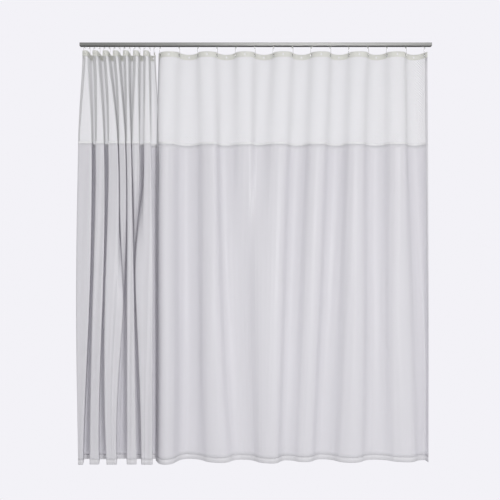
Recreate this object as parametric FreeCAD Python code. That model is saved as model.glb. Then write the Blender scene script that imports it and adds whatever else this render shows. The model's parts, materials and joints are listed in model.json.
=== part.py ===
import FreeCAD, Part
import math
import os

from FreeCAD import Vector

# Two shower curtains of one size on one straight ceiling track. The left one is pushed
# together at its end, the right one is drawn out. Millimetres, +Z up, +X along the track,
# the front towards -Y. The origin is the middle of the track's top face.

# Track: an aluminium channel with a slot along its underside.
track_overall = 2090.0      # over both end caps
track_width = 35.0
track_height = 19.0
track_wall = 1.5
track_corner = 1.0          # rounding of the outer edges
slot_width = 10.0
screw_count = 6
screw_hole_radius = 2.25
screw_end_margin = 95.0     # from the end of the track to the first screw

# End caps, plugged into the track.
cap_plate = 2.0
cap_plug_depth = 8.0
cap_plug_wall = 2.0
cap_clearance = 0.2

# End stops, which trap the last carrier of each curtain.
stop_length = 8.0
stop_clearance = 0.3
stop_gap = 0.5              # from the stop to the wheels of the carrier
set_screw_radius = 2.0
set_screw_socket = 1.1
set_screw_socket_depth = 3.0

# Carriers: two wheels on an axle, a stem through the slot and a wire hook.
wheel_radius = 6.5
wheel_width = 4.0
wheel_rounding = 0.8
wheel_clearance = 0.2       # over the lips of the track
axle_radius = 1.2
axle_fit = 0.05
axle_head_radius = 2.2
axle_head = 0.8
side_play = 0.4             # beside each wheel
hub_length = 8.0
hub_width = 11.0
hub_height = 7.0
neck_length = 7.0
neck_clearance = 1.0        # each side, in the slot
neck_drop = 1.5             # below the track
tongue_thickness = 2.0
tongue_wall = 2.0           # round the hole for the hook
wire_radius = 1.0
bend_radius = 4.0           # middle line of the eye and of the bend
hook_clearance = 0.3
tip_rise = 7.0              # of the hook's free end above the middle of the bend

# Eyelets: a tube with a flange, and a washer on the back.
eyelet_radius = 5.0
eyelet_wall = 0.6
flange_radius = 9.0
flange_thickness = 0.9
eyelet_fit = 0.2
flange_fit = 0.1

# Curtains.
eyelet_count = 15
eyelet_spacing = 152.4      # along the flat cloth
edge_margin = 25.0          # from the first eyelet to the side edge
curtain_height = 2432.0
hang_drop = 54.0            # from the underside of the track to the eyelets
header_height = 32.0
mesh_height = 508.0
seam_height = 12.0
bottom_hem_height = 30.0
side_hem_width = 18.0
header_thickness = 1.6
hem_thickness = 1.4
sheet_thickness = 0.8
fold_straight = 15.0        # least flat cloth each side of an eyelet

# Places along the track.
left_anchor_inset = 26.0    # from the end of the track to the last carrier
right_anchor_inset = 40.0
stack_pitch = 29.8          # between the carriers of the curtain that is pushed together
lead_gap = 34.0             # between the first carriers of the two curtains

# Heights that follow from the sizes above.
lip_top = track_wall - track_height
axle_height = lip_top + wheel_clearance + wheel_radius
eyelet_level = -track_height - hang_drop
header_top = eyelet_level + header_height / 2
header_bottom = header_top - header_height
seam_middle = header_bottom - mesh_height
seam_top = seam_middle + seam_height / 2
seam_bottom = seam_middle - seam_height / 2
hem_bottom = header_top - curtain_height
hem_top = hem_bottom + bottom_hem_height

# Places along the track that follow from the sizes above.
half_track = track_overall / 2
steps = eyelet_count - 1
left_first = left_anchor_inset - half_track
right_last = half_track - right_anchor_inset
right_first = left_first + steps * stack_pitch + lead_gap
draw_pitch = (right_last - right_first) / steps

# Half the thickness of cloth and eyelet together.
grip = header_thickness / 2 + flange_fit + flange_thickness


def box(x0, x1, y0, y1, z0, z1):
    return Part.makeBox(x1 - x0, y1 - y0, z1 - z0, Vector(x0, y0, z0))


def rod(radius, start, end):
    """A cylinder from one point to another."""
    axis = end - start
    return Part.makeCylinder(radius, axis.Length, start, axis)


def fold_shape(pitch):
    """Angle, bend radius and straight half of one fold between two eyelets.

    The cloth runs straight through each eyelet at the angle to the track, then bends round
    to the next. Folds that are close together have square sides and half-round bends.
    """
    square_straight = (eyelet_spacing - math.pi * pitch / 2) / 2
    if square_straight >= fold_straight:
        return math.pi / 2, pitch / 2, square_straight
    bend_length = eyelet_spacing / 2 - fold_straight
    low, high = 0.01, math.pi / 2
    for _ in range(60):
        angle = (low + high) / 2
        reach = fold_straight * math.cos(angle) + bend_length * math.sin(angle) / angle
        if reach > pitch / 2:
            low = angle
        else:
            high = angle
    return angle, bend_length / angle, fold_straight


class Curtain:
    """Where one curtain's carriers are and how its cloth runs between them."""

    def __init__(self, side, first, pitch, first_heading):
        self.side = side
        self.angle, self.bend, self.straight = fold_shape(pitch)
        self.places = [first + i * pitch for i in range(eyelet_count)]
        self.turns = [first_heading * (-1) ** i for i in range(eyelet_count)]

    def heading(self, i):
        """Direction of the cloth at an eyelet, from left to right."""
        return self.turns[i] * self.angle

    def across(self, i):
        """Level direction square to the cloth at an eyelet, pointing to the back."""
        heading = self.heading(i)
        normal = Vector(-math.sin(heading), math.cos(heading), 0)
        if normal.y < -1e-9:
            return -normal
        return normal

    def yaw(self):
        """Angle between a hook's plane and the track."""
        return math.pi / 2 - self.angle

    def path(self, trim):
        """Start, heading and steps of the cloth's middle line, less trim at each edge."""
        heading = self.heading(0)
        lead = edge_margin - trim
        start = Vector(self.places[0], 0, 0)
        start -= lead * Vector(math.cos(heading), math.sin(heading), 0)
        legs = [(lead + self.straight, 0)]
        for i in range(steps):
            legs.append((self.bend, -2 * self.turns[i] * self.angle))
            legs.append((2 * self.straight, 0))
        legs[-1] = (self.straight + lead, 0)
        return start, heading, legs

    def strip(self, trim, thickness, low, high):
        """A sheet of the cloth's shape between two levels."""
        start, heading, legs = self.path(trim)
        left = side_edges(start, heading, legs, thickness / 2)
        right = side_edges(start, heading, legs, -thickness / 2)
        ends = [
            Part.makeLine(left[0].Vertexes[0].Point, right[0].Vertexes[0].Point),
            Part.makeLine(left[-1].Vertexes[-1].Point, right[-1].Vertexes[-1].Point),
        ]
        outline = Part.Wire(Part.__sortEdges__(left + right + ends))
        outline.translate(Vector(0, 0, low))
        return Part.Face(outline).extrude(Vector(0, 0, high - low))


def side_edges(start, heading, legs, offset):
    """Edges that run beside a path of straights and bends, offset to its left."""
    edges = []
    point = Vector(start)
    for size, turn in legs:
        normal = Vector(-math.sin(heading), math.cos(heading), 0)
        if turn == 0:
            end = point + size * Vector(math.cos(heading), math.sin(heading), 0)
            edges.append(Part.makeLine(point + offset * normal, end + offset * normal))
        else:
            side = math.copysign(1, turn)
            centre = point + side * size * normal
            radius = size - side * offset
            corners = []
            for part in (0, 0.5, 1):
                angle = heading + part * turn
                corners.append(centre + side * radius * Vector(math.sin(angle), -math.cos(angle), 0))
            edges.append(Part.Arc(*corners).toShape())
            heading += turn
            normal = Vector(-math.sin(heading), math.cos(heading), 0)
            end = centre - side * size * normal
        point = end
    return edges


def track():
    """The channel, as five bars that meet face to face: the top web with a row of screw
    holes, and a wall and a lip on each side."""
    half = half_track - cap_plate
    outer = box(-half, half, -track_width / 2, track_width / 2, -track_height, 0)
    long_edges = [e for e in outer.Edges if abs(e.Length - 2 * half) < 0.01]
    outer = outer.makeFillet(track_corner, long_edges)
    web = outer.common(box(-half, half, -track_width / 2, track_width / 2, -track_wall, 0))
    screw_pitch = (track_overall - 2 * screw_end_margin) / (screw_count - 1)
    for i in range(screw_count):
        x = screw_end_margin - half_track + i * screw_pitch
        web = web.cut(rod(screw_hole_radius, Vector(x, 0, -track_wall - 1), Vector(x, 0, 1)))
    bars = [web]
    for side in (-1, 1):
        edge = side * track_width / 2
        wall_y = sorted((edge - side * track_wall, edge))
        lip_y = sorted((side * slot_width / 2, edge))
        bars.append(outer.common(box(-half, half, *wall_y, lip_top, -track_wall)))
        bars.append(outer.common(box(-half, half, *lip_y, -track_height, lip_top)))
    return bars


def end_cap(side):
    """A plate over the end of the track, with a hollow plug inside it."""
    inner = side * (half_track - cap_plate)
    plate = box(*sorted((inner, side * half_track)), -track_width / 2, track_width / 2, -track_height, 0)
    rounded = [e for e in plate.Edges if abs(e.Length - cap_plate) < 0.01]
    plate = plate.makeFillet(track_corner, rounded)
    tip = inner - side * cap_plug_depth
    wide = track_width / 2 - track_wall - cap_clearance
    top = -track_wall - cap_clearance
    low = lip_top + cap_clearance
    plug = box(*sorted((inner, tip)), -wide, wide, low, top)
    thin = cap_plug_wall
    hollow = box(*sorted((inner, tip - side)), thin - wide, wide - thin, low + thin, top - thin)
    return plate.fuse(plug.cut(hollow)).removeSplitter()


def end_stop(x):
    """A block in the channel and the set screw that jams it there."""
    wide = track_width / 2 - track_wall - stop_clearance
    low = lip_top + stop_clearance
    top = -track_wall - stop_clearance
    block = box(x - stop_length / 2, x + stop_length / 2, -wide, wide, low, top)
    foot = Vector(x, 0, low)
    head = Vector(x, 0, top)
    block = block.cut(rod(set_screw_radius + axle_fit, foot, head))
    screw = rod(set_screw_radius, foot, head)
    socket = rod(set_screw_socket, foot, foot + Vector(0, 0, set_screw_socket_depth))
    return [block, screw.cut(socket)]


def wheel(side):
    """A wheel that rolls on one lip of the track."""
    inside = side * (hub_width / 2 + side_play)
    start = Vector(0, inside, axle_height)
    end = start + Vector(0, side * wheel_width, 0)
    disc = rod(wheel_radius, start, end)
    rims = [e for e in disc.Edges if len(e.Vertexes) == 1]
    disc = disc.makeFillet(wheel_rounding, rims)
    return disc.cut(rod(axle_radius + axle_fit, start - (end - start), end + (end - start)))


def axle():
    """A pin through hub and wheels, with a head at each end."""
    reach = hub_width / 2 + 2 * side_play + wheel_width
    pin = rod(axle_radius, Vector(0, -reach, axle_height), Vector(0, reach, axle_height))
    for side in (-1, 1):
        inner = Vector(0, side * reach, axle_height)
        pin = pin.fuse(rod(axle_head_radius, inner, inner + Vector(0, side * axle_head, 0)))
    return pin.removeSplitter()


def wire_room(yaw):
    """Radius of the hole that lets the hook's wire through the tongue at an angle."""
    slant = tongue_thickness / 2 / math.cos(yaw) + wire_radius * math.tan(yaw)
    sideways = wire_radius / math.cos(yaw) + tongue_thickness / 2 * math.tan(yaw)
    drop = bend_radius - math.sqrt(bend_radius ** 2 - slant ** 2)
    return sideways + drop + hook_clearance


def tongue_hole(curtains):
    """The one hole size that suits every hook."""
    return max(wire_room(curtain.yaw()) for curtain in curtains)


def hole_place(hole_radius):
    """Radius of the tongue's round end and the level of the hole in it."""
    round_end = hole_radius + tongue_wall
    return round_end, -track_height - neck_drop - round_end + tongue_wall / 2


def stem(hole_radius):
    """Hub, neck through the slot, and tongue with the hole that the hook hangs in."""
    hub = box(-hub_length / 2, hub_length / 2, -hub_width / 2, hub_width / 2,
              axle_height - hub_height / 2, axle_height + hub_height / 2)
    neck_half = slot_width / 2 - neck_clearance
    neck_foot = -track_height - neck_drop
    neck = box(-neck_length / 2, neck_length / 2, -neck_half, neck_half, neck_foot, axle_height)
    tongue_radius, hole_level = hole_place(hole_radius)
    half = tongue_thickness / 2
    tongue = box(-half, half, -tongue_radius, tongue_radius, hole_level, neck_foot)
    hole_start = Vector(-half, 0, hole_level)
    hole_end = Vector(half, 0, hole_level)
    tongue = tongue.fuse(rod(tongue_radius, hole_start, hole_end))
    whole = hub.fuse(neck).fuse(tongue).removeSplitter()
    reach = Vector(half, 0, 0)
    whole = whole.cut(rod(hole_radius, hole_start - reach, hole_end + reach))
    side = Vector(0, hub_width, axle_height)
    return whole.cut(rod(axle_radius + axle_fit, Vector(0, -hub_width, axle_height), side))


def hook(hole_radius, curtain, i):
    """A wire bent to an eye at the top and an open bend at the foot, in one plane."""
    hole_level = hole_place(hole_radius)[1]
    eye = hole_level - (hole_radius - wire_room(curtain.yaw())) - bend_radius
    # the bend clears the eyelet's rim over the whole thickness that it holds
    inside = bend_radius - wire_radius
    foot = eyelet_level + eyelet_radius - hook_clearance + math.sqrt(inside ** 2 - grip ** 2)
    # the eye's free end stops short of the shank
    close = math.acos(1 - (2 * wire_radius + hook_clearance) / bend_radius)
    across = curtain.across(i)

    def place(u, z):
        return across * u + Vector(0, 0, z)

    def round_point(level, angle):
        return place(bend_radius * math.cos(angle), level + bend_radius * math.sin(angle))

    eye_end = close - math.pi
    shank_top = place(-bend_radius, eye)
    shank_foot = place(-bend_radius, foot)
    tip = place(bend_radius, foot + tip_rise)
    bend_end = place(bend_radius, foot)
    eye_top = round_point(eye, math.pi / 2)
    eye_back = Part.Arc(shank_top, round_point(eye, 0.75 * math.pi), eye_top)
    eye_arc = Part.Arc(eye_top, round_point(eye, 0), round_point(eye, eye_end))
    edges = [
        Part.makeLine(tip, bend_end),
        Part.Arc(bend_end, place(0, foot - bend_radius), shank_foot).toShape(),
        Part.makeLine(shank_foot, shank_top),
        eye_back.toShape(),
        eye_arc.toShape(),
    ]
    ring = Part.Wire(Part.makeCircle(wire_radius, tip, Vector(0, 0, 1)))
    swept = Part.Wire(edges).makePipeShell([ring], True, False)
    return swept.fuse(Part.makeSphere(wire_radius, tip)).removeSplitter()


def carrier(hole_radius, curtain, i):
    pieces = [stem(hole_radius), axle(), wheel(-1), wheel(1), hook(hole_radius, curtain, i)]
    for piece in pieces:
        piece.translate(Vector(curtain.places[i], 0, 0))
    return pieces


def header_band(curtain):
    """The doubled band along the top, with a hole for each eyelet."""
    band = curtain.strip(0, header_thickness, header_bottom, header_top)
    for i in range(eyelet_count):
        middle = Vector(curtain.places[i], 0, eyelet_level)
        reach = curtain.across(i) * header_thickness
        radius = eyelet_radius + eyelet_wall + eyelet_fit
        band = band.cut(rod(radius, middle - reach, middle + reach))
    return [band]


def grommets(curtain):
    """For each hole a flanged tube from the front and a washer on the back."""
    pieces = []
    for i in range(eyelet_count):
        middle = Vector(curtain.places[i], 0, eyelet_level)
        across = curtain.across(i)
        inside = header_thickness / 2 + flange_fit
        outer_radius = eyelet_radius + eyelet_wall
        tube = rod(outer_radius, middle - across * grip, middle + across * grip)
        flange = rod(flange_radius, middle - across * grip, middle - across * inside)
        bore = rod(eyelet_radius, middle - across * 2 * grip, middle + across * 2 * grip)
        pieces.append(tube.fuse(flange).cut(bore).removeSplitter())
        washer = rod(flange_radius, middle + across * inside, middle + across * grip)
        opening = rod(outer_radius + flange_fit, middle, middle + across * 2 * grip)
        pieces.append(washer.cut(opening))
    return pieces


def side_hems(curtain):
    """A flat doubled strip down each side edge."""
    pieces = []
    for i, outward in ((0, -1), (eyelet_count - 1, 1)):
        heading = curtain.heading(i)
        along = Vector(math.cos(heading), math.sin(heading), 0) * outward
        normal = Vector(-along.y, along.x, 0) * (hem_thickness / 2)
        inner = Vector(curtain.places[i], 0, hem_top) + along * (edge_margin - side_hem_width)
        outer = Vector(curtain.places[i], 0, hem_top) + along * edge_margin
        corners = [inner + normal, outer + normal, outer - normal, inner - normal, inner + normal]
        face = Part.Face(Part.makePolygon(corners))
        pieces.append(face.extrude(Vector(0, 0, header_bottom - hem_top)))
    return pieces


def cloth(curtain):
    """Every sewn piece of one curtain, by name."""
    return {
        "header_band": header_band(curtain),
        "grommets": grommets(curtain),
        "mesh_panel": [curtain.strip(side_hem_width, sheet_thickness, seam_top, header_bottom)],
        "seam_binding": [curtain.strip(side_hem_width, hem_thickness, seam_bottom, seam_top)],
        "main_panel": [curtain.strip(side_hem_width, sheet_thickness, hem_top, seam_bottom)],
        "side_hems": side_hems(curtain),
        "bottom_hem": [curtain.strip(0, hem_thickness, hem_bottom, hem_top)],
    }


def save(name, pieces):
    shape = pieces[0] if len(pieces) == 1 else Part.makeCompound(pieces)
    shape.exportStep("parts/" + name + ".step")


os.makedirs("parts", exist_ok=True)

left = Curtain("left", left_first, stack_pitch, -1)
right = Curtain("right", right_first, draw_pitch, -1)

save("track", track())
save("left_end_cap", [end_cap(-1)])
save("right_end_cap", [end_cap(1)])
stop_offset = wheel_radius + stop_gap + stop_length / 2
save("left_end_stop", end_stop(left_first + stop_offset))
save("right_end_stop", end_stop(right_last - stop_offset))

hole = tongue_hole((left, right))
for curtain in (left, right):
    for i in range(eyelet_count):
        save(f"{curtain.side}_carrier_{i + 1:02d}", carrier(hole, curtain, i))
    for name, pieces in cloth(curtain).items():
        save(f"{curtain.side}_{name}", pieces)

print("carriers from", left_first, "by", stack_pitch, "and from", right_first, "by", draw_pitch)
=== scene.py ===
import json
import math

import bmesh
import bpy
import numpy as np
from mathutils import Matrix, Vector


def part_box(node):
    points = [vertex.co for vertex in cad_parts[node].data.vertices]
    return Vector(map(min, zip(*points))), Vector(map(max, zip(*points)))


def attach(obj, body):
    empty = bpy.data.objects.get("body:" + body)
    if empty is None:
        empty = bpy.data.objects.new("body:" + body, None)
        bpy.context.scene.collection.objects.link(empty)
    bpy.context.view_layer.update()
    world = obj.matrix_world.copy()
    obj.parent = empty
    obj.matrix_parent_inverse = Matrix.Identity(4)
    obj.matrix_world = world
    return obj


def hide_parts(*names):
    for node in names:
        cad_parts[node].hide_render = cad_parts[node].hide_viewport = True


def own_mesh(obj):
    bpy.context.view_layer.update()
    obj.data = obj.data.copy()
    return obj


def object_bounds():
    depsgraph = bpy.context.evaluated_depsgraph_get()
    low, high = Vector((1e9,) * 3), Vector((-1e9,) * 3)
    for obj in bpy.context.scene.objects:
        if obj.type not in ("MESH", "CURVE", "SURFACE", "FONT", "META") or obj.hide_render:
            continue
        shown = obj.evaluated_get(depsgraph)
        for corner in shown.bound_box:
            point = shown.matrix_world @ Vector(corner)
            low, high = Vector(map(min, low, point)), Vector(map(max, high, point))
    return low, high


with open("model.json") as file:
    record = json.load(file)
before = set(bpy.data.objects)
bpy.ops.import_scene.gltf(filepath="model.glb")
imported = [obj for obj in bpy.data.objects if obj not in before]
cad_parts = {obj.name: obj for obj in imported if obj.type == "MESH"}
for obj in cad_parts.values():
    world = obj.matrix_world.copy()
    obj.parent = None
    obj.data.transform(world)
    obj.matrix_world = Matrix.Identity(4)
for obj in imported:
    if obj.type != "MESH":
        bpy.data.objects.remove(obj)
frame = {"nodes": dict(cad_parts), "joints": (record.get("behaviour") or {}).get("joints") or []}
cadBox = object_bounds()
print("frame loaded")

scene = bpy.context.scene
scene.view_settings.view_transform = "Standard"


# shader sockets as numbers: arithmetic on one adds Math nodes to its tree
class Wire:
    def __init__(self, tree, socket=None):
        self.tree = tree
        self.socket = socket

    # any node: its settings first, then a value or a wire for each socket
    def add(self, kind, settings=None, inputs=None, out=0):
        node = self.tree.nodes.new(kind)
        for name, value in (settings or {}).items():
            setattr(node, name, value)
        for name, value in (inputs or {}).items():
            if isinstance(value, Wire):
                self.tree.links.new(value.socket, node.inputs[name])
            else:
                node.inputs[name].default_value = value
        return Wire(self.tree, node.outputs[out] if len(node.outputs) else None)

    def math(self, operation, *values, clamp=False):
        settings = {"operation": operation, "use_clamp": clamp}
        return self.add("ShaderNodeMath", settings, dict(enumerate(values)))

    def __add__(self, other):
        return self.math("ADD", self, other)

    def __radd__(self, other):
        return self.math("ADD", other, self)

    def __sub__(self, other):
        return self.math("SUBTRACT", self, other)

    def __rsub__(self, other):
        return self.math("SUBTRACT", other, self)

    def __mul__(self, other):
        return self.math("MULTIPLY", self, other)

    def __rmul__(self, other):
        return self.math("MULTIPLY", other, self)

    def sine(self):
        return self.math("SINE", self)

    def clipped(self):
        return self.math("ADD", self, 0.0, clamp=True)

    # 0 below low, 1 above high, smooth between
    def ramp(self, low, high):
        inputs = {"Value": self, "From Min": low, "From Max": high}
        return self.add("ShaderNodeMapRange", {"interpolation_type": "SMOOTHSTEP"}, inputs)

    # one colour where the wire is 0 and the other where it is 1
    def colours(self, first, second):
        pair = [c if isinstance(c, Wire) else (*c, 1.0) for c in (first, second)]
        inputs = {0: self, 6: pair[0], 7: pair[1]}
        return self.add("ShaderNodeMix", {"data_type": "RGBA"}, inputs, out=2)

    def noise(self, place, scale, detail=2.0, roughness=0.5):
        inputs = {"Vector": place, "Scale": scale, "Detail": detail, "Roughness": roughness}
        return self.add("ShaderNodeTexNoise", None, inputs)

    def stretched(self, place, scales):
        return self.add("ShaderNodeMapping", None, {"Vector": place, "Scale": scales})

    def parts(self, place):
        node = self.add("ShaderNodeSeparateXYZ", None, {"Vector": place}).socket.node
        return [Wire(self.tree, output) for output in node.outputs]

    def bump(self, height, distance, strength, normal=None):
        inputs = {"Height": height, "Distance": distance, "Strength": strength}
        if normal is not None:
            inputs["Normal"] = normal
        return self.add("ShaderNodeBump", None, inputs)


# a material with its tree and a wire to start from
def newMaterial(name):
    material = bpy.data.materials.new(name)
    material.use_nodes = True
    material.node_tree.nodes.clear()
    return material, Wire(material.node_tree)


# closes a tree with one shader; fixed values go on its own sockets. A thin cloth also lets
# a share of the light through, tinted with one even colour.
def finishMaterial(start, inputs, through=0.0, tint=None):
    shader = start.add("ShaderNodeBsdfPrincipled", None, inputs)
    if tint is not None:
        back = start.add("ShaderNodeBsdfTranslucent", None, {"Color": (*tint, 1.0)})
        shader = start.add("ShaderNodeMixShader", None, {0: through, 1: shader, 2: back})
    start.add("ShaderNodeOutputMaterial", None, {"Surface": shader})


# the colour half way between two
def between(first, second):
    return tuple((a + b) / 2 for a, b in zip(first, second))


def smoothStep(x):
    x = np.clip(x, 0, 1)
    return x * x * (3 - 2 * x)


def unit(vectors):
    return vectors / np.linalg.norm(vectors, axis=-1, keepdims=True)


sheet = {
    "spacing": 0.1524,         # between eyelets on the flat cloth
    "margin": 0.025,           # from the last eyelet to the side edge
    "sideHem": 0.018,
    "tuck": 0.004,             # of one piece inside the next where they are sewn
    "sag": 0.0025,             # of the top edge between two hooks
    "header": 0.0016,          # thicknesses
    "panel": 0.0008,
    "hem": 0.0014,
    "ridges": np.arange(-1, 15),   # one between each two hooks and one past each side edge
    "stations": (0.0, 0.21, 0.55, 1.0),   # shares of the drop where a ridge's place is given
    "formed": 0.3,             # share of the drop over which a fold takes its lower shape
    "evenWidth": 5,            # width that every fold counts with at the top
}
edgeU = sheet["margin"] / sheet["spacing"]
hemU = sheet["sideHem"] / sheet["spacing"]
tuckU = sheet["tuck"] / sheet["spacing"]

# For each ridge: how far it wanders to the right of its place at the top, in mm at the
# seam, half way down and at the hem, then its depth at the hem as a share of that at the
# top, and how wide its fold is beside the others at those three heights.
leftCurtain = {
    "name": "left",
    "joint": "left_draw",
    "fixedHook": 0,
    "seed": 4,
    "straight": 0.69,          # share of the cloth from hook to ridge that runs straight
    "angle": 90.0,             # of the cloth to the track where it passes an eyelet
    "lowStraight": 0.62,
    "lowFlat": 0.25,           # share that runs level over the ridge further down
    "lowAngle": 90.0,
    "lean": 0.155,             # of the folds to the right as they come forward
    "denseFrom": 0.55,         # where the mesh columns get closer, and how many there are
    "columns": (3, 12),
    "rows": 84,
    "ripple": 0.0009,
    "ridges": [
        (-20, -33, -23, 0.7, 1, 1, 1.5), (-7, -19, -34, 1.08, 13.5, 13.5, 4.5),
        (13, 0, -30, 0.85, 3.5, 3, 6.5), (19, 10, -13, 1, 8.5, 10, 9),
        (27, 16, 7, 0.8, 4, 2, 7.5), (38, 27, 29, 1.05, 9.5, 12, 10),
        (39, 37, 27, 0.8, 1, 1, 1), (32, 31, 3, 0.8, 6.5, 7, 1),
        (24, 25, -1, 0.95, 1, 1.5, 10), (11, 19, 27, 1, 4.5, 6.5, 9.5),
        (-2, 12, 40, 0.85, 1, 1, 5), (-7, 6, 23, 0.9, 7.5, 7, 0.5),
        (-2, 0, -3, 0.9, 4.5, 1, 0.5), (2, 2, -3, 1.06, 7, 10, 11),
        (17, 22, 21, 0.9, 8, 7, 7), (14, 15, 15, 0.7, 1, 1, 1),
    ],
    "merge": {5: (0.35, 0.65), 10: (0.25, 0.55)},
}
rightCurtain = {
    "name": "right",
    "joint": "right_draw",
    "fixedHook": -1,
    "seed": 5,
    "straight": 15 / 76.2,
    "angle": 63.397,
    "lowStraight": 0.12,
    "lowFlat": 0.0,
    "lowAngle": 60.0,
    "lean": 0.0,
    "denseFrom": 0.2,
    "columns": (2, 9),
    "rows": 64,
    "ripple": 0.0004,
    "ridges": [
        (-4, -8, -10, 1.1, 1, 1, 1), (-22, -23, -23, 1.65, 1, 1, 1), (-9, -9, -9, 1.4, 1, 1, 1),
        (30, 38, 80, 0.75, 1, 1, 1), (-16, 8, 87, 1.0, 1, 1, 1), (20, 56, 70, 0.6, 1, 1, 1),
        (-33, -55, -60, 0.6, 1, 1, 1), (-18, -38, -65, 1.05, 1, 1, 1), (-26, -60, -90, 0.6, 1, 1, 1),
        (-20, -46, -91, 0.35, 1, 1, 1), (-18, -56, -105, 1.2, 1, 1, 1), (-17, -19, -45, 0.7, 1, 1, 1),
        (-12, -12, -15, 1.0, 1, 1, 1), (14, 17, 66, 0.4, 1, 1, 1), (0, 46, 60, 0.75, 1, 1, 1),
        (4, -20, -28, 0.8, 1, 1, 1),
    ],
    "merge": {4: (0.0, 0.58)},
}


# A quarter of a fold, from hook to ridge: straight at the angle, then turning evenly until
# it is level, then level. Lengths and both coordinates are scaled to end at 1.
def quarterFold(straight, flat, angle):
    q = np.linspace(0, 1, 500)
    turned = np.clip((q - straight) / (1 - flat - straight), 0, 1)
    heading = math.radians(angle) * (1 - turned)
    steps = [np.cos(heading), np.sin(heading)]
    x, y = [np.concatenate([[0], np.cumsum((s[1:] + s[:-1]) / 2)]) for s in steps]
    return {"q": q, "x": x / x[-1], "y": y / y[-1], "reach": y[-1] / (len(q) - 1)}


class Curtain:
    def __init__(self, plan):
        self.plan = plan
        self.side = plan["name"]
        boxes = {node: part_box(f"{self.side}_{node}") for node in
                 ("header_band", "seam_binding", "bottom_hem", "grommets")}
        self.top = boxes["header_band"][1].z
        self.headerFoot = boxes["header_band"][0].z
        self.seamTop = boxes["seam_binding"][1].z
        self.seamFoot = boxes["seam_binding"][0].z
        self.hemTop = boxes["bottom_hem"][1].z
        self.foot = boxes["bottom_hem"][0].z
        self.eyeletZ = sum(corner.z for corner in boxes["grommets"]) / 2
        carriers = [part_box(f"{self.side}_carrier_{k:02d}") for k in range(1, 16)]
        self.hooks = np.array([(low.x + high.x) / 2 for low, high in carriers])
        self.pitch = (self.hooks[-1] - self.hooks[0]) / 14
        self.topFold = quarterFold(plan["straight"], 0.0, plan["angle"])
        self.lowFold = quarterFold(plan["lowStraight"], plan["lowFlat"], plan["lowAngle"])
        self.depth = sheet["spacing"] / 2 * self.topFold["reach"]
        given = np.array(plan["ridges"])
        places = np.column_stack([np.zeros(len(given)), given[:, :3] / 1000])
        self.cubic = np.linalg.solve(np.vander(sheet["stations"], 4), places.T)
        self.deepening, self.widths = given[:, 3], given[:, 4:]
        rng = np.random.default_rng(plan["seed"])
        self.ripples = rng.uniform(0, 1, (16, 4))

    # 0 at the foot of the header and 1 at the hem
    def share(self, z):
        return np.clip((self.headerFoot - z) / (self.headerFoot - self.foot), 0, 1)

    # a ridge's place along the track and its depth; even ones are at the front
    def ridge(self, number, f):
        a, b, c, d = self.cubic[:, number + 1]
        x = self.hooks[0] + (number + 0.5) * self.pitch + ((a * f + b) * f + c) * f + d
        grown = 1 + (self.deepening[number + 1] - 1) * smoothStep(f)
        return x, np.where(number % 2 == 0, -1, 1) * self.depth * grown

    # how wide a ridge's fold is beside its neighbours: all the same at the top
    def width(self, number, f):
        seam, middle, hem = [self.widths[number + 1, k] for k in range(3)]
        _, first, second, third = sheet["stations"]
        even = sheet["evenWidth"]
        wide = even + (seam - even) * smoothStep(f / first)
        wide = wide + (middle - seam) * smoothStep((f - first) / (second - first))
        return wide + (hem - middle) * smoothStep((f - second) / (third - second))

    # The cloth between each two ridges: a middle point on the line of the hook, nearer to
    # the narrower fold, and from it a quarter fold out to either ridge.
    def folds(self, u, f, gone=()):
        kept = np.array([j for j in sheet["ridges"] if j not in gone])
        cell = np.clip(np.searchsorted(kept + 0.5, u) - 1, 0, len(kept) - 2)
        first, second = kept[cell], kept[cell + 1]
        (firstX, firstY), (secondX, secondY) = self.ridge(first, f), self.ridge(second, f)
        q = 2 * (u - 0.5 - (first + second) / 2) / (second - first)
        lower = smoothStep(f / sheet["formed"])
        firstWidth, secondWidth = self.width(first, f), self.width(second, f)
        middleX = (firstX * secondWidth + secondX * firstWidth) / (firstWidth + secondWidth)
        half = np.where(q < 0, middleX - firstX, secondX - middleX)
        size = np.abs(q)
        x, y = [np.interp(size, self.topFold["q"], self.topFold[k]) * (1 - lower)
                + np.interp(size, self.lowFold["q"], self.lowFold[k]) * lower for k in "xy"]
        depth = (firstY + secondY + np.sign(q) * (secondY - firstY) * y) / 2
        return middleX + np.sign(q) * half * x - self.plan["lean"] * lower * depth, depth

    # a sum of steep slanting waves, each a sine of the place across and the drop
    def ripple(self, u, f):
        total = 0
        for a, b, c, d in self.ripples:
            phase = (9 + 34 * a) * u + (3 + 9 * b) * f + 6.28 * c
            swell = 0.6 + 0.4 * np.sin(5 * f + 9 * d + u)
            total = total + (0.3 + d) / (1 + 2 * a) * np.sin(phase) * swell
        return total * self.plan["ripple"] * smoothStep(f * 3)

    # Points of the cloth for any u, in eyelet spacings from the first eyelet, and height z:
    # the folds, with each dying pair of ridges faded out, plus the ripples.
    def place(self, u, z):
        u, z = np.broadcast_arrays(np.asarray(u, float), np.asarray(z, float))
        f = self.share(z)
        whole = self.folds(u, f)
        x, y = whole
        for first, (start, end) in self.plan["merge"].items():
            faded = smoothStep((f - start) / (end - start))
            without = self.folds(u, f, (first, first + 1))
            x = x + (without[0] - whole[0]) * faded
            y = y + (without[1] - whole[1]) * faded
        drop = sheet["sag"] * np.sin(math.pi * np.clip(u, 0, 14)) ** 2 * (1 - f)
        return np.stack([x + 0.5 * self.ripple(u + 5, f), y + self.ripple(u, f), z - drop], axis=-1)

    # points with the directions along the cloth, down it and out of its front
    def axesAt(self, u, z):
        step = 0.002
        along = unit(self.place(u + step, z) - self.place(u - step, z))
        down = unit(self.place(u, z - step) - self.place(u, z + step))
        return self.place(u, z), along, down, unit(np.cross(down, along))

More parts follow.
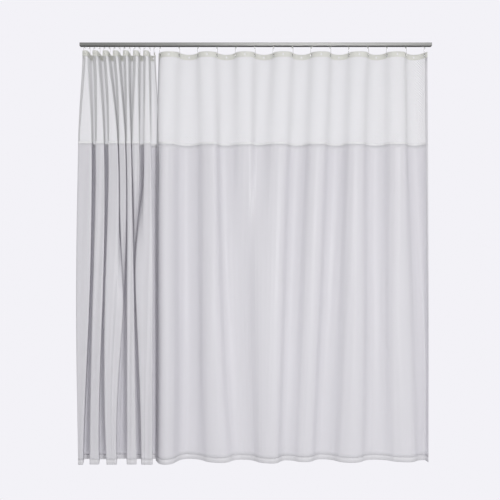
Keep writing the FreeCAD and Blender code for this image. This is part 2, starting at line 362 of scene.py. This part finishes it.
    # mesh columns from edge to edge, closer together in the bends
    def columns(self, inset=0.0):
        few, many = self.plan["columns"]
        turn = self.plan["denseFrom"]
        half = np.concatenate([np.linspace(0, turn, few, endpoint=False),
                               np.linspace(turn, 1, many + 1)]) / 2
        whole = np.concatenate([-half[:0:-1], half[:-1]])
        inner = (np.arange(15)[:, None] + whole).ravel()
        low, high = -edgeU + inset, 14 + edgeU - inset
        inner = inner[(inner > low + 0.01) & (inner < high - 0.01)]
        return np.concatenate([[low], inner, [high]])

    # place on the uncut cloth, in metres from its top corner
    def flat(self, u, z):
        u, z = np.broadcast_arrays(np.asarray(u, float), np.asarray(z, float))
        return np.stack([(u + edgeU) * sheet["spacing"], self.top - z], axis=-1).reshape(-1, 2)


# a mesh from points, one array of faces and the points' places on the flat cloth
def meshFrom(name, points, faces, flat=None):
    mesh = bpy.data.meshes.new(name)
    points = np.ascontiguousarray(points.reshape(-1, 3), np.float32)
    loops = faces.ravel().astype(np.int32)
    mesh.vertices.add(len(points))
    mesh.vertices.foreach_set("co", points.ravel())
    mesh.loops.add(len(loops))
    mesh.loops.foreach_set("vertex_index", loops)
    mesh.polygons.add(len(faces))
    mesh.polygons.foreach_set("loop_start", np.arange(0, len(loops), faces.shape[1], dtype=np.int32))
    mesh.update(calc_edges=True)
    mesh.polygons.foreach_set("use_smooth", np.ones(len(faces), bool))
    if flat is not None:
        layer = mesh.uv_layers.new(name="flat")
        layer.data.foreach_set("uv", flat[loops].astype(np.float32).ravel())
    mesh.validate()
    piece = bpy.data.objects.new(name, mesh)
    scene.collection.objects.link(piece)
    return piece


# quads of a grid of points stored column by column, facing the front
def gridFaces(columns, rows):
    i, j = np.meshgrid(np.arange(columns - 1), np.arange(rows - 1), indexing="ij")
    corner = i * rows + j
    return np.stack([corner, corner + 1, corner + rows + 1, corner + rows], axis=-1).reshape(-1, 4)


def thicken(piece, thickness):
    solid = piece.modifiers.new("thickness", "SOLIDIFY")
    solid.thickness = thickness
    solid.offset = 0
    return piece


# turns every face of closed shells outwards
def outward(piece):
    work = bmesh.new()
    work.from_mesh(piece.data)
    bmesh.ops.recalc_face_normals(work, faces=work.faces)
    work.to_mesh(piece.data)
    work.free()
    return piece


# a sewn piece of cloth between two heights, on the given columns
def strip(curtain, name, u, high, low, rows, thickness):
    z = np.linspace(high, low, rows)
    points = curtain.place(u[:, None], z[None, :])
    flat = curtain.flat(u[:, None], z[None, :])
    piece = meshFrom(curtain.side + name, points, gridFaces(len(u), rows), flat)
    return thicken(piece, thickness)


eyelet = {
    "bore": 0.005,
    "flange": 0.009,
    "roll": 0.0007,            # size of the rolled edge
    "cut": 0.0058,             # radius of the hole in the cloth
    "block": 0.012,            # half side of the square of finer mesh round a hole
    "step": 0.002,
    "around": 32,
}


# The header: a grid that is finer round each eyelet, where a square ring of it is bent into
# a circle. A point at a share s of the way from hole to block lies s of the way from the
# circle to the square, and the faces inside the hole are left out.
def headerBand(curtain):
    block, step, cut = eyelet["block"], eyelet["step"], eyelet["cut"]
    near = np.arange(-block, block + step / 2, step)
    nearU = near / sheet["spacing"]
    between = np.linspace(nearU[-1], 1 + nearU[0], 16)[1:-1]
    period = np.concatenate([nearU, between])
    body = (np.arange(15)[:, None] + period).ravel()
    side = np.linspace(nearU[-1], edgeU, 4)[1:]
    u = np.concatenate([-side[::-1], body[: 14 * len(period) + len(near)], 14 + side])
    z = np.concatenate([[curtain.top], curtain.eyeletZ + near[::-1], [curtain.headerFoot]])
    hook = np.clip(np.round(u), 0, 14)[:, None]
    a, b = np.broadcast_arrays((u[:, None] - hook) * sheet["spacing"], z[None, :] - curtain.eyeletZ)
    square = np.maximum(np.abs(a), np.abs(b))
    rim = 2 * step
    bent = (square > step / 2) & (square < block - step / 2)
    mix = np.clip((square - rim) / (block - rim), 0, 1)
    reach = cut * (1 - mix) / np.maximum(np.hypot(a, b), step / 2)
    stretch = block * mix / np.maximum(square, step / 2)
    newA = np.where(bent, a * (reach + stretch), a)
    newB = np.where(bent, b * (reach + stretch), b)
    flatU = hook + newA / sheet["spacing"]
    flatZ = curtain.eyeletZ + newB
    points = curtain.place(flatU, flatZ)
    faces = gridFaces(len(u), len(z))
    centreA = a.ravel()[faces].mean(axis=1)
    centreB = b.ravel()[faces].mean(axis=1)
    faces = faces[np.maximum(np.abs(centreA), np.abs(centreB)) > rim]
    used, faces = np.unique(faces, return_inverse=True)
    faces = faces.reshape(-1, 4)
    flat = curtain.flat(flatU, flatZ)
    piece = meshFrom(f"{curtain.side}HeaderBand", points.reshape(-1, 3)[used], faces, flat[used])
    return thicken(piece, sheet["header"])


# Eyelets: one closed section, a tube between two rolled flanges that grip the cloth, turned
# round the middle of each hole.
def eyelets(curtain):
    grip, roll = sheet["header"] / 2, eyelet["roll"]
    bore, flange = eyelet["bore"], eyelet["flange"]
    turn = np.linspace(0, math.pi, 6)
    lip = np.column_stack([flange + roll / 2 * np.sin(turn), grip + 0.6 * roll * (1 - np.cos(turn))])
    along = np.array([0.75, 0.5, 0.25, 0.0])
    crown = np.column_stack([bore + (flange - bore) * along,
                             grip + roll * (1.2 + 0.9 * np.sin(math.pi * np.sqrt(along) * 0.9))])
    front = np.concatenate([lip, crown])
    back = front[::-1] * (1, -1)
    seat = np.array([(bore + roll, -grip), (bore + roll, grip)])
    section = np.concatenate([front, back, seat])
    angle = np.linspace(0, 2 * math.pi, eyelet["around"], endpoint=False)[:, None]
    radius, height = section[None, :, 0], section[None, :, 1]
    across, upright = radius * np.cos(angle), radius * np.sin(angle)
    number = np.arange(15)
    _, sideways, down, out = curtain.axesAt(number, curtain.eyeletZ)
    centre = np.column_stack([curtain.hooks, np.zeros(15), np.full(15, curtain.eyeletZ)])
    points = (centre[:, None, None] + across[None, ..., None] * sideways[:, None, None]
              - upright[None, ..., None] * down[:, None, None]
              + (height + 0 * across)[None, ..., None] * out[:, None, None])
    count, rows = eyelet["around"], len(section)
    i, j = np.meshgrid(np.arange(count), np.arange(rows), indexing="ij")
    nextI, nextJ = (i + 1) % count, (j + 1) % rows
    quads = np.stack([i * rows + j, nextI * rows + j, nextI * rows + nextJ, i * rows + nextJ], axis=-1)
    faces = (quads.reshape(1, -1, 4) + (number * count * rows)[:, None, None]).reshape(-1, 4)
    return outward(meshFrom(f"{curtain.side}Eyelets", points, faces))


net = {
    "pitch": 0.0152,           # corner to corner of an opening
    "strand": 0.0029,
    "thickness": 0.0009,
}


# The net: knots at every other point of a fine grid, each a small square on its corner, and
# flat strands from the side of one knot to the side of the next, down and up to the right.
def netPanel(curtain):
    low, high = -edgeU + hemU, 14 + edgeU - hemU
    width = (high - low) * sheet["spacing"]
    height = curtain.headerFoot - curtain.seamTop
    across = 2 * round(width / net["pitch"])
    rows = 2 * round(height / net["pitch"])
    i, j = np.meshgrid(np.arange(across + 1), np.arange(rows + 1), indexing="ij")
    knot = (i + j) % 2 == 0
    u = low + i[knot] * (high - low) / across
    z = curtain.headerFoot - j[knot] * height / rows
    half = net["strand"] / math.sqrt(2)
    corners = np.array([(-half, 0), (0, -half), (half, 0), (0, half)])
    cornerU = u[:, None] + corners[:, 0] / sheet["spacing"]
    cornerZ = z[:, None] + corners[:, 1]
    number = np.full(i.shape, -1)
    number[knot] = np.arange(len(u))
    downFrom, downTo = number[:-1, :-1], number[1:, 1:]
    upFrom, upTo = number[:-1, 1:], number[1:, :-1]
    down = downFrom >= 0
    up = upFrom >= 0
    a, b = 4 * downFrom[down], 4 * downTo[down]
    c, d = 4 * upFrom[up], 4 * upTo[up]
    faces = np.concatenate([
        np.arange(4 * len(u)).reshape(-1, 4),
        np.stack([a + 2, a + 1, b, b + 3], axis=-1),
        np.stack([c + 3, c + 2, d + 1, d], axis=-1),
    ])
    points = curtain.place(cornerU, cornerZ)
    piece = meshFrom(f"{curtain.side}NetPanel", points, faces, curtain.flat(cornerU, cornerZ))
    side = net["pitch"] / math.sqrt(2)
    covered = 1 - ((side - net["strand"]) / side) ** 2
    return thicken(piece, net["thickness"]), (width, height), covered


stitch = {
    "length": 0.0034,
    "gap": 0.0014,
    "width": 0.0008,
    "rise": 0.0004,
    "inset": 0.0035,           # of a row from the edge that it holds
}


# Sewing: rows of beads with six corners, long along the row, on both faces of the cloth.
def stitching(curtain):
    inset = stitch["inset"]
    pace = stitch["length"] + stitch["gap"]
    doubled, hem = sheet["header"] / 2, sheet["hem"] / 2
    across = np.arange(-edgeU + 0.02, 14 + edgeU - 0.02, pace / sheet["spacing"])
    rows = [(across, height, rise, False) for height, rise in (
        (curtain.top - inset, doubled), (curtain.headerFoot + inset, doubled),
        (curtain.seamTop - inset, hem), (curtain.seamFoot + inset, hem),
        (curtain.hemTop - inset, hem))]
    drop = np.arange(curtain.hemTop, curtain.headerFoot, pace)
    seamU = hemU - inset / sheet["spacing"]
    rows += [(edge, drop, hem, True) for edge in (-edgeU + seamU, 14 + edgeU - seamU)]
    bead = np.array([(-1, 0, 0), (1, 0, 0), (0, 1, 0), (0, -1, 0), (0, 0, 1), (0, 0, -1)])
    sides = np.array([(0, 3, 4), (3, 1, 4), (1, 2, 4), (2, 0, 4),
                      (3, 0, 5), (1, 3, 5), (2, 1, 5), (0, 2, 5)])
    points = []
    for u, z, rise, upright in rows:
        u, z = np.broadcast_arrays(np.asarray(u, float), np.asarray(z, float))
        centre, along, down, front = curtain.axesAt(u, z)
        run, cross = (down, along) if upright else (along, down)
        axes = np.stack([run * stitch["length"] / 2, cross * stitch["width"] / 2,
                         front * stitch["rise"]], axis=1)
        for face in (1, -1):
            points.append((centre + face * rise * front)[:, None] + bead @ axes)
    points = np.concatenate(points)
    faces = (sides[None] + 6 * np.arange(len(points))[:, None, None]).reshape(-1, 3)
    return outward(meshFrom(f"{curtain.side}Stitching", points, faces))


# side hems: two narrow strips in one piece
def sideHems(curtain):
    z = np.linspace(curtain.headerFoot, curtain.hemTop, curtain.plan["rows"])
    width = np.linspace(0, hemU, 5)
    grids = [curtain.place(u[:, None], z) for u in (-edgeU + width, 14 + edgeU - hemU + width)]
    flats = [curtain.flat(u[:, None], z) for u in (-edgeU + width, 14 + edgeU - hemU + width)]
    one = gridFaces(len(width), len(z))
    faces = np.concatenate([one, one + len(width) * len(z)])
    points = np.concatenate([g.reshape(-1, 3) for g in grids])
    piece = meshFrom(f"{curtain.side}SideHems", points, faces, np.concatenate(flats))
    return thicken(piece, sheet["hem"])


fabric = {
    "thread": 0.00055,         # of the woven header, in metres
    "fineThread": 0.00042,     # of the coated sheet's base cloth
    "loop": 0.0011,            # of the net's knitting
    "woven": 0.98,             # mean brightness of a weave beside its threads' tops
    "creases": 0.2,
    "netThrough": 0.6,
}


# Plain weave, from the place on the flat cloth: one set of threads is a row of sines across,
# the other a row of sines down, and which one lies on top changes like a chessboard.
def weave(start, place, thread):
    across, down, _ = start.parts(place)
    turns = math.pi / thread
    over = ((across * turns).sine() * (down * turns).sine()).ramp(-0.25, 0.25)
    first = (across * turns).sine() * (across * turns).sine()
    second = (down * turns).sine() * (down * turns).sine()
    return first * over + second * (1 - over)


# the lowest edge is a little darker: down the flat cloth, in metres
darkerFoot = {"from": 2.414, "to": 2.419, "share": 0.8, "colour": (0.74, 0.735, 0.76)}


# a woven or coated cloth: colour, drift of the colour, weave, creases, gloss and its wear
def clothMaterial(name, colour, shade, thread, roughness, gloss, relief, through, sheen=0.0):
    material, start = newMaterial(name)
    place = start.add("ShaderNodeUVMap", {"uv_map": "flat"})
    threads = weave(start, place, thread)
    slow = start.noise(start.stretched(place, (3.0, 0.7, 1.0)), 2.0, 3.0)
    fine = start.noise(place, 90.0, 4.0, 0.6)
    streaks = start.noise(start.stretched(place, (60.0, 1.6, 1.0)), 1.0, 3.0, 0.55)
    mix = ((slow - 0.5) * 0.9 + (streaks - 0.5) * 0.5 + (fine - 0.5) * 0.25 + 0.5).clipped()
    tint = mix.colours(shade, colour)
    _, down, _ = start.parts(place)
    # the colour turns darker over the last few mm at the foot of the cloth
    foot = down.ramp(darkerFoot["from"], darkerFoot["to"]) * (0.6 + slow * 0.5)
    tint = (foot * darkerFoot["share"]).colours(tint, darkerFoot["colour"])
    worn = (threads * 0.35).colours(tint, tuple(0.9 * c for c in shade))
    rough = roughness + (fine - 0.5) * 0.16 + (slow - 0.5) * 0.10
    soft = start.bump(streaks, 0.0012, fabric["creases"])
    normal = start.bump(threads, thread * 0.35, relief, soft)
    finishMaterial(start, {
        "Base Color": worn, "Roughness": rough.clipped(), "Normal": normal,
        "Specular IOR Level": gloss, "Sheen Weight": sheen, "Sheen Roughness": 0.4,
    }, through, tuple(fabric["woven"] * c for c in between(colour, shade)))
    return material


# knitted net: chains of loops along each strand, seen as slanting sines
def netMaterial(name, colour, shade):
    material, start = newMaterial(name)
    place = start.add("ShaderNodeUVMap", {"uv_map": "flat"})
    across, down, _ = start.parts(place)
    turns = 2 * math.pi / fabric["loop"]
    loops = ((across + down) * turns).sine() * ((across - down) * turns).sine()
    slow = start.noise(place, 5.0, 3.0)
    fuzz = start.noise(place, 900.0, 2.0, 0.7)
    mix = ((slow - 0.5) * 0.8 + (fuzz - 0.5) * 0.5 + loops * 0.12 + 0.5).clipped()
    normal = start.bump(loops * 0.5 + fuzz * 0.5, 0.0004, 0.5)
    finishMaterial(start, {
        "Base Color": mix.colours(shade, colour), "Roughness": (0.62 + (fuzz - 0.5) * 0.2).clipped(),
        "Normal": normal, "Specular IOR Level": 0.3, "Sheen Weight": 0.7, "Sheen Roughness": 0.5,
    }, fabric["netThrough"], between(colour, shade))
    return material


# twisted thread: slanting strands along the stitch
def threadMaterial():
    material, start = newMaterial("sewingThread")
    place = start.add("ShaderNodeTexCoord", None, None, out=3)
    x, y, z = start.parts(place)
    twist = ((x + z) * (2 * math.pi / 0.0006)).sine()
    slow = start.noise(place, 30.0, 2.0)
    tint = (slow * 0.6 + twist * 0.2 + 0.1).clipped().colours((0.80, 0.80, 0.82), (0.93, 0.93, 0.92))
    finishMaterial(start, {
        "Base Color": tint, "Roughness": 0.55 + twist * 0.06,
        "Normal": start.bump(twist, 0.0001, 0.6), "Sheen Weight": 0.2,
    })
    return material


# anodised aluminium: long drawing lines from a noise stretched along the track, faint rub
# marks, dust in patches, and below the given level painted shade that makes the underside almost black
def trackMaterial(level):
    material, start = newMaterial("anodisedTrack")
    place = start.add("ShaderNodeTexCoord", None, None, out=3)
    lines = start.noise(start.stretched(place, (1.2, 900.0, 900.0)), 1.0, 3.0, 0.6)
    patches = start.noise(start.stretched(place, (3.0, 40.0, 40.0)), 1.0, 3.0)
    specks = start.noise(place, 260.0, 3.0, 0.7).ramp(0.62, 0.72)
    _, _, height = start.parts(place)
    # painted shade: the underside, below the slot's level, is darkened almost to black
    paintedShadeBelow = 1 - height.ramp(level, level + 0.0003)
    tint = (lines * 0.6 + patches * 0.4).ramp(0.3, 0.7).colours((0.30, 0.30, 0.295), (0.41, 0.41, 0.40))
    tint = (paintedShadeBelow * 0.92).colours(tint, (0.06, 0.06, 0.06))
    rough = 0.38 + (lines - 0.5) * 0.14 + (patches - 0.5) * 0.12 + specks * 0.12
    finishMaterial(start, {
        "Base Color": tint, "Roughness": rough.clipped(), "Metallic": 1.0,
        "Normal": start.bump(lines, 0.0002, 0.25),
    })
    return material


# moulded plastic: fine spark-eroded grain and a slow change of tone
def mouldedMaterial(name, dark, light):
    material, start = newMaterial(name)
    place = start.add("ShaderNodeTexCoord", None, None, out=3)
    grain = start.noise(place, 1800.0, 3.0, 0.6)
    slow = start.noise(place, 60.0, 2.0)
    tint = (slow * 0.7 + grain * 0.3).ramp(0.3, 0.7).colours(dark, light)
    finishMaterial(start, {
        "Base Color": tint, "Roughness": (0.45 + (grain - 0.5) * 0.2).clipped(),
        "Normal": start.bump(grain, 0.0001, 0.3),
    })
    return material


# plated steel: polishing swirls, and small dull spots where the plating is rubbed
def platedMaterial(name, dark, light, roughness):
    material, start = newMaterial(name)
    place = start.add("ShaderNodeTexCoord", None, None, out=3)
    swirls = start.noise(start.stretched(place, (700.0, 700.0, 160.0)), 1.0, 2.0)
    dull = start.noise(place, 220.0, 3.0, 0.65).ramp(0.55, 0.7)
    tint = (swirls * 0.7 + dull * 0.3).ramp(0.25, 0.75).colours(light, dark)
    rough = roughness + (swirls - 0.5) * 0.1 + dull * 0.14
    finishMaterial(start, {
        "Base Color": tint, "Roughness": rough.clipped(), "Metallic": 1.0,
        "Normal": start.bump(swirls, 0.00006, 0.25),
    })
    return material


# a carrier: white nylon wheels above the slot's level, plated steel below it
def carrierMaterial(level):
    material, start = newMaterial("carrierSteelAndNylon")
    place = start.add("ShaderNodeTexCoord", None, None, out=3)
    _, _, z = start.parts(place)
    nylon = z.ramp(level - 0.0002, level + 0.0002)
    grain = start.noise(place, 1500.0, 2.0)
    swirls = start.noise(start.stretched(place, (700.0, 700.0, 160.0)), 1.0, 2.0)
    steel = swirls.ramp(0.3, 0.7).colours((0.62, 0.61, 0.60), (0.80, 0.79, 0.78))
    plastic = grain.ramp(0.3, 0.7).colours((0.78, 0.78, 0.75), (0.86, 0.86, 0.84))
    rough = 0.24 + nylon * 0.22 + (swirls - 0.5) * 0.1
    finishMaterial(start, {
        "Base Color": nylon.colours(steel, plastic), "Roughness": rough.clipped(),
        "Metallic": 1 - nylon, "Normal": start.bump(swirls, 0.00005, 0.25),
    })
    return material


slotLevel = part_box("track")[0].z
looks = {
    "header": clothMaterial("headerTape", (0.95, 0.95, 0.92), (0.90, 0.90, 0.865),
                            fabric["thread"], roughness=0.7, gloss=0.35, relief=0.6,
                            through=0.5, sheen=0.5),
    "net": netMaterial("knittedNet", (0.95, 0.95, 0.955), (0.90, 0.90, 0.91)),
    "binding": clothMaterial("seamTape", (0.965, 0.96, 0.975), (0.94, 0.935, 0.95),
                             fabric["thread"], roughness=0.6, gloss=0.35, relief=0.5,
                             through=0.2, sheen=0.1),
    "panel": clothMaterial("coatedSheet", (0.908, 0.900, 0.927), (0.888, 0.880, 0.909),
                           fabric["fineThread"], roughness=0.34, gloss=0.4, relief=0.12,
                           through=0.44),
    "hem": clothMaterial("doubledHem", (0.905, 0.897, 0.924), (0.882, 0.874, 0.903),
                         fabric["fineThread"], roughness=0.36, gloss=0.4, relief=0.12,
                         through=0.3),
    "thread": threadMaterial(),
    "eyelet": platedMaterial("platedEyelet", (0.50, 0.50, 0.49), (0.74, 0.74, 0.73), 0.22),
    "track": trackMaterial(slotLevel + 0.0002),
    "carrier": carrierMaterial(slotLevel + 0.0005),
    "endCap": mouldedMaterial("greyCap", (0.20, 0.20, 0.20), (0.25, 0.25, 0.25)),
    "endStop": mouldedMaterial("paleStop", (0.62, 0.62, 0.62), (0.70, 0.70, 0.70)),
}
print("materials ready")


def dress(piece, material, node):
    piece.data.materials.append(material)
    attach(piece, "track")
    if node is not None:
        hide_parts(node)


def travel(joint):
    found = next(j for j in frame["joints"] if j["name"] == joint)
    return max(abs(limit) for limit in found["range_m"])


for plan in (leftCurtain, rightCurtain):
    curtain = Curtain(plan)
    side = curtain.side
    whole, inner = curtain.columns(), curtain.columns(hemU - tuckU)
    tuck, rows = sheet["tuck"], plan["rows"]
    header = headerBand(curtain)
    rings = eyelets(curtain)
    netPiece, netSize, covered = netPanel(curtain)
    binding = strip(curtain, "SeamBinding", whole, curtain.seamTop, curtain.seamFoot, 5, sheet["hem"])
    panel = strip(curtain, "MainPanel", inner, curtain.seamFoot + tuck, curtain.hemTop - tuck,
                  rows, sheet["panel"])
    hems = sideHems(curtain)
    bottom = strip(curtain, "BottomHem", whole, curtain.hemTop, curtain.foot, 5, sheet["hem"])
    thread = stitching(curtain)
    dress(header, looks["header"], f"{side}_header_band")
    dress(rings, looks["eyelet"], f"{side}_grommets")
    dress(netPiece, looks["net"], f"{side}_mesh_panel")
    dress(binding, looks["binding"], f"{side}_seam_binding")
    dress(panel, looks["panel"], f"{side}_main_panel")
    dress(hems, looks["hem"], f"{side}_side_hems")
    dress(bottom, looks["hem"], f"{side}_bottom_hem")
    dress(thread, looks["thread"], None)
    fullWidth = (14 + 2 * edgeU) * sheet["spacing"]
    innerWidth = fullWidth - 2 * (sheet["sideHem"] - tuck)
    covered * netSize[0] * netSize[1]
    curtain.seamFoot - curtain.hemTop + 2 * tuck
    keep = 1 - travel(plan["joint"]) / (curtain.hooks[-1] - curtain.hooks[0])
    for piece in (header, rings, netPiece, binding, panel, hems, bottom, thread):
        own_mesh(piece)
    print(side, "curtain hung")


# the metal and plastic parts keep their shapes and get their finishes
def finishNode(node, material):
    data = frame["nodes"][node].data
    data.materials.clear()
    data.materials.append(material)


finishNode("track", looks["track"])
for side in ("left", "right"):
    finishNode(f"{side}_end_cap", looks["endCap"])
    finishNode(f"{side}_end_stop", looks["endStop"])
    for k in range(1, 16):
        finishNode(f"{side}_carrier_{k:02d}", looks["carrier"])
print("track and carriers finished")

studio = {
    "backdrop": (0.896, 0.887, 0.930),
    "leftGlow": 0.66,          # brightness of the room to the left and to the right
    "rightGlow": 0.74,
    "darkBand": 0.9,           # of the low wall behind the curtain
    "darkCard": 0.85,          # of the card that the track mirrors at its left end
    "floorDrop": 0.045,        # of the floor below the hems
    "floorSize": 14.0,
    "lensDistance": 4.76,
    "lensSide": -0.034,
    "lensHeight": -1.2307,
    "lens": 57.6,
    "stripPlace": (0.6, -4.4, -1.1),
    "stripSize": (0.5, 3.6),
    "stripPower": 91.0,
}


# The room: one even backdrop for the camera; as light, a glow that grows from left to right,
# with a dark band low behind the curtain and a dark card in front of it at the upper left.
def makeRoom():
    world = bpy.data.worlds.new("studio")
    world.use_nodes = True
    world.node_tree.nodes.clear()
    scene.world = world
    start = Wire(world.node_tree)
    x, y, z = start.parts(start.add("ShaderNodeTexCoord", None, None, out=0))
    left, right = studio["leftGlow"], studio["rightGlow"]
    glow = left + x.ramp(-0.35, 0.25) * (right - left)
    band = y.ramp(0.55, 0.8) * z.ramp(-0.5, -0.3) * (1 - z.ramp(-0.12, 0.0))
    card = (1 - x.ramp(-0.25, 0.02)) * (1 - y.ramp(-0.8, -0.6))
    card = card * z.ramp(0.05, 0.15) * (1 - z.ramp(0.4, 0.5))
    glow = glow * (1 - studio["darkBand"] * band) * (1 - studio["darkCard"] * card)
    seen = start.add("ShaderNodeLightPath")
    light = start.add("ShaderNodeBackground", None, {"Color": (1, 1, 1, 1), "Strength": glow})
    backdrop = {"Color": (*studio["backdrop"], 1), "Strength": 1.0}
    plain = start.add("ShaderNodeBackground", None, backdrop)
    mixed = start.add("ShaderNodeMixShader", None, {0: seen, 1: light, 2: plain})
    start.add("ShaderNodeOutputWorld", None, {"Surface": mixed})


# a pale floor that glows like the backdrop, so that no horizon shows
def makeFloor(level):
    half = studio["floorSize"] / 2
    corners = np.array([(-half, -half), (half, -half), (half, half), (-half, half)])
    points = np.column_stack([corners, np.full(4, level)])
    floor = meshFrom("studioFloor", points, np.array([[0, 1, 2, 3]]))
    material, start = newMaterial("paleFloor")
    glow = start.add("ShaderNodeEmission", None, {"Color": (*studio["backdrop"], 1), "Strength": 1.0})
    start.add("ShaderNodeOutputMaterial", None, {"Surface": glow})
    floor.data.materials.append(material)
    floor.visible_diffuse = False
    floor.visible_glossy = False


def makeLight(name, place, size, power):
    data = bpy.data.lights.new(name, "AREA")
    data.shape = "RECTANGLE"
    data.size, data.size_y = size
    data.energy = power
    lamp = bpy.data.objects.new(name, data)
    lamp.location = place
    lamp.rotation_euler = (math.pi / 2, 0, 0)
    scene.collection.objects.link(lamp)


def makeCamera():
    data = bpy.data.cameras.new("lens")
    data.lens = studio["lens"]
    data.sensor_width = 36.0
    camera = bpy.data.objects.new("lens", data)
    camera.location = (studio["lensSide"], -studio["lensDistance"], studio["lensHeight"])
    camera.rotation_euler = (math.pi / 2, 0, 0)
    scene.collection.objects.link(camera)
    scene.camera = camera


makeRoom()
makeFloor(cadBox[0].z - studio["floorDrop"])
makeLight("tallStrip", studio["stripPlace"], studio["stripSize"], studio["stripPower"])
makeCamera()
print("studio ready")
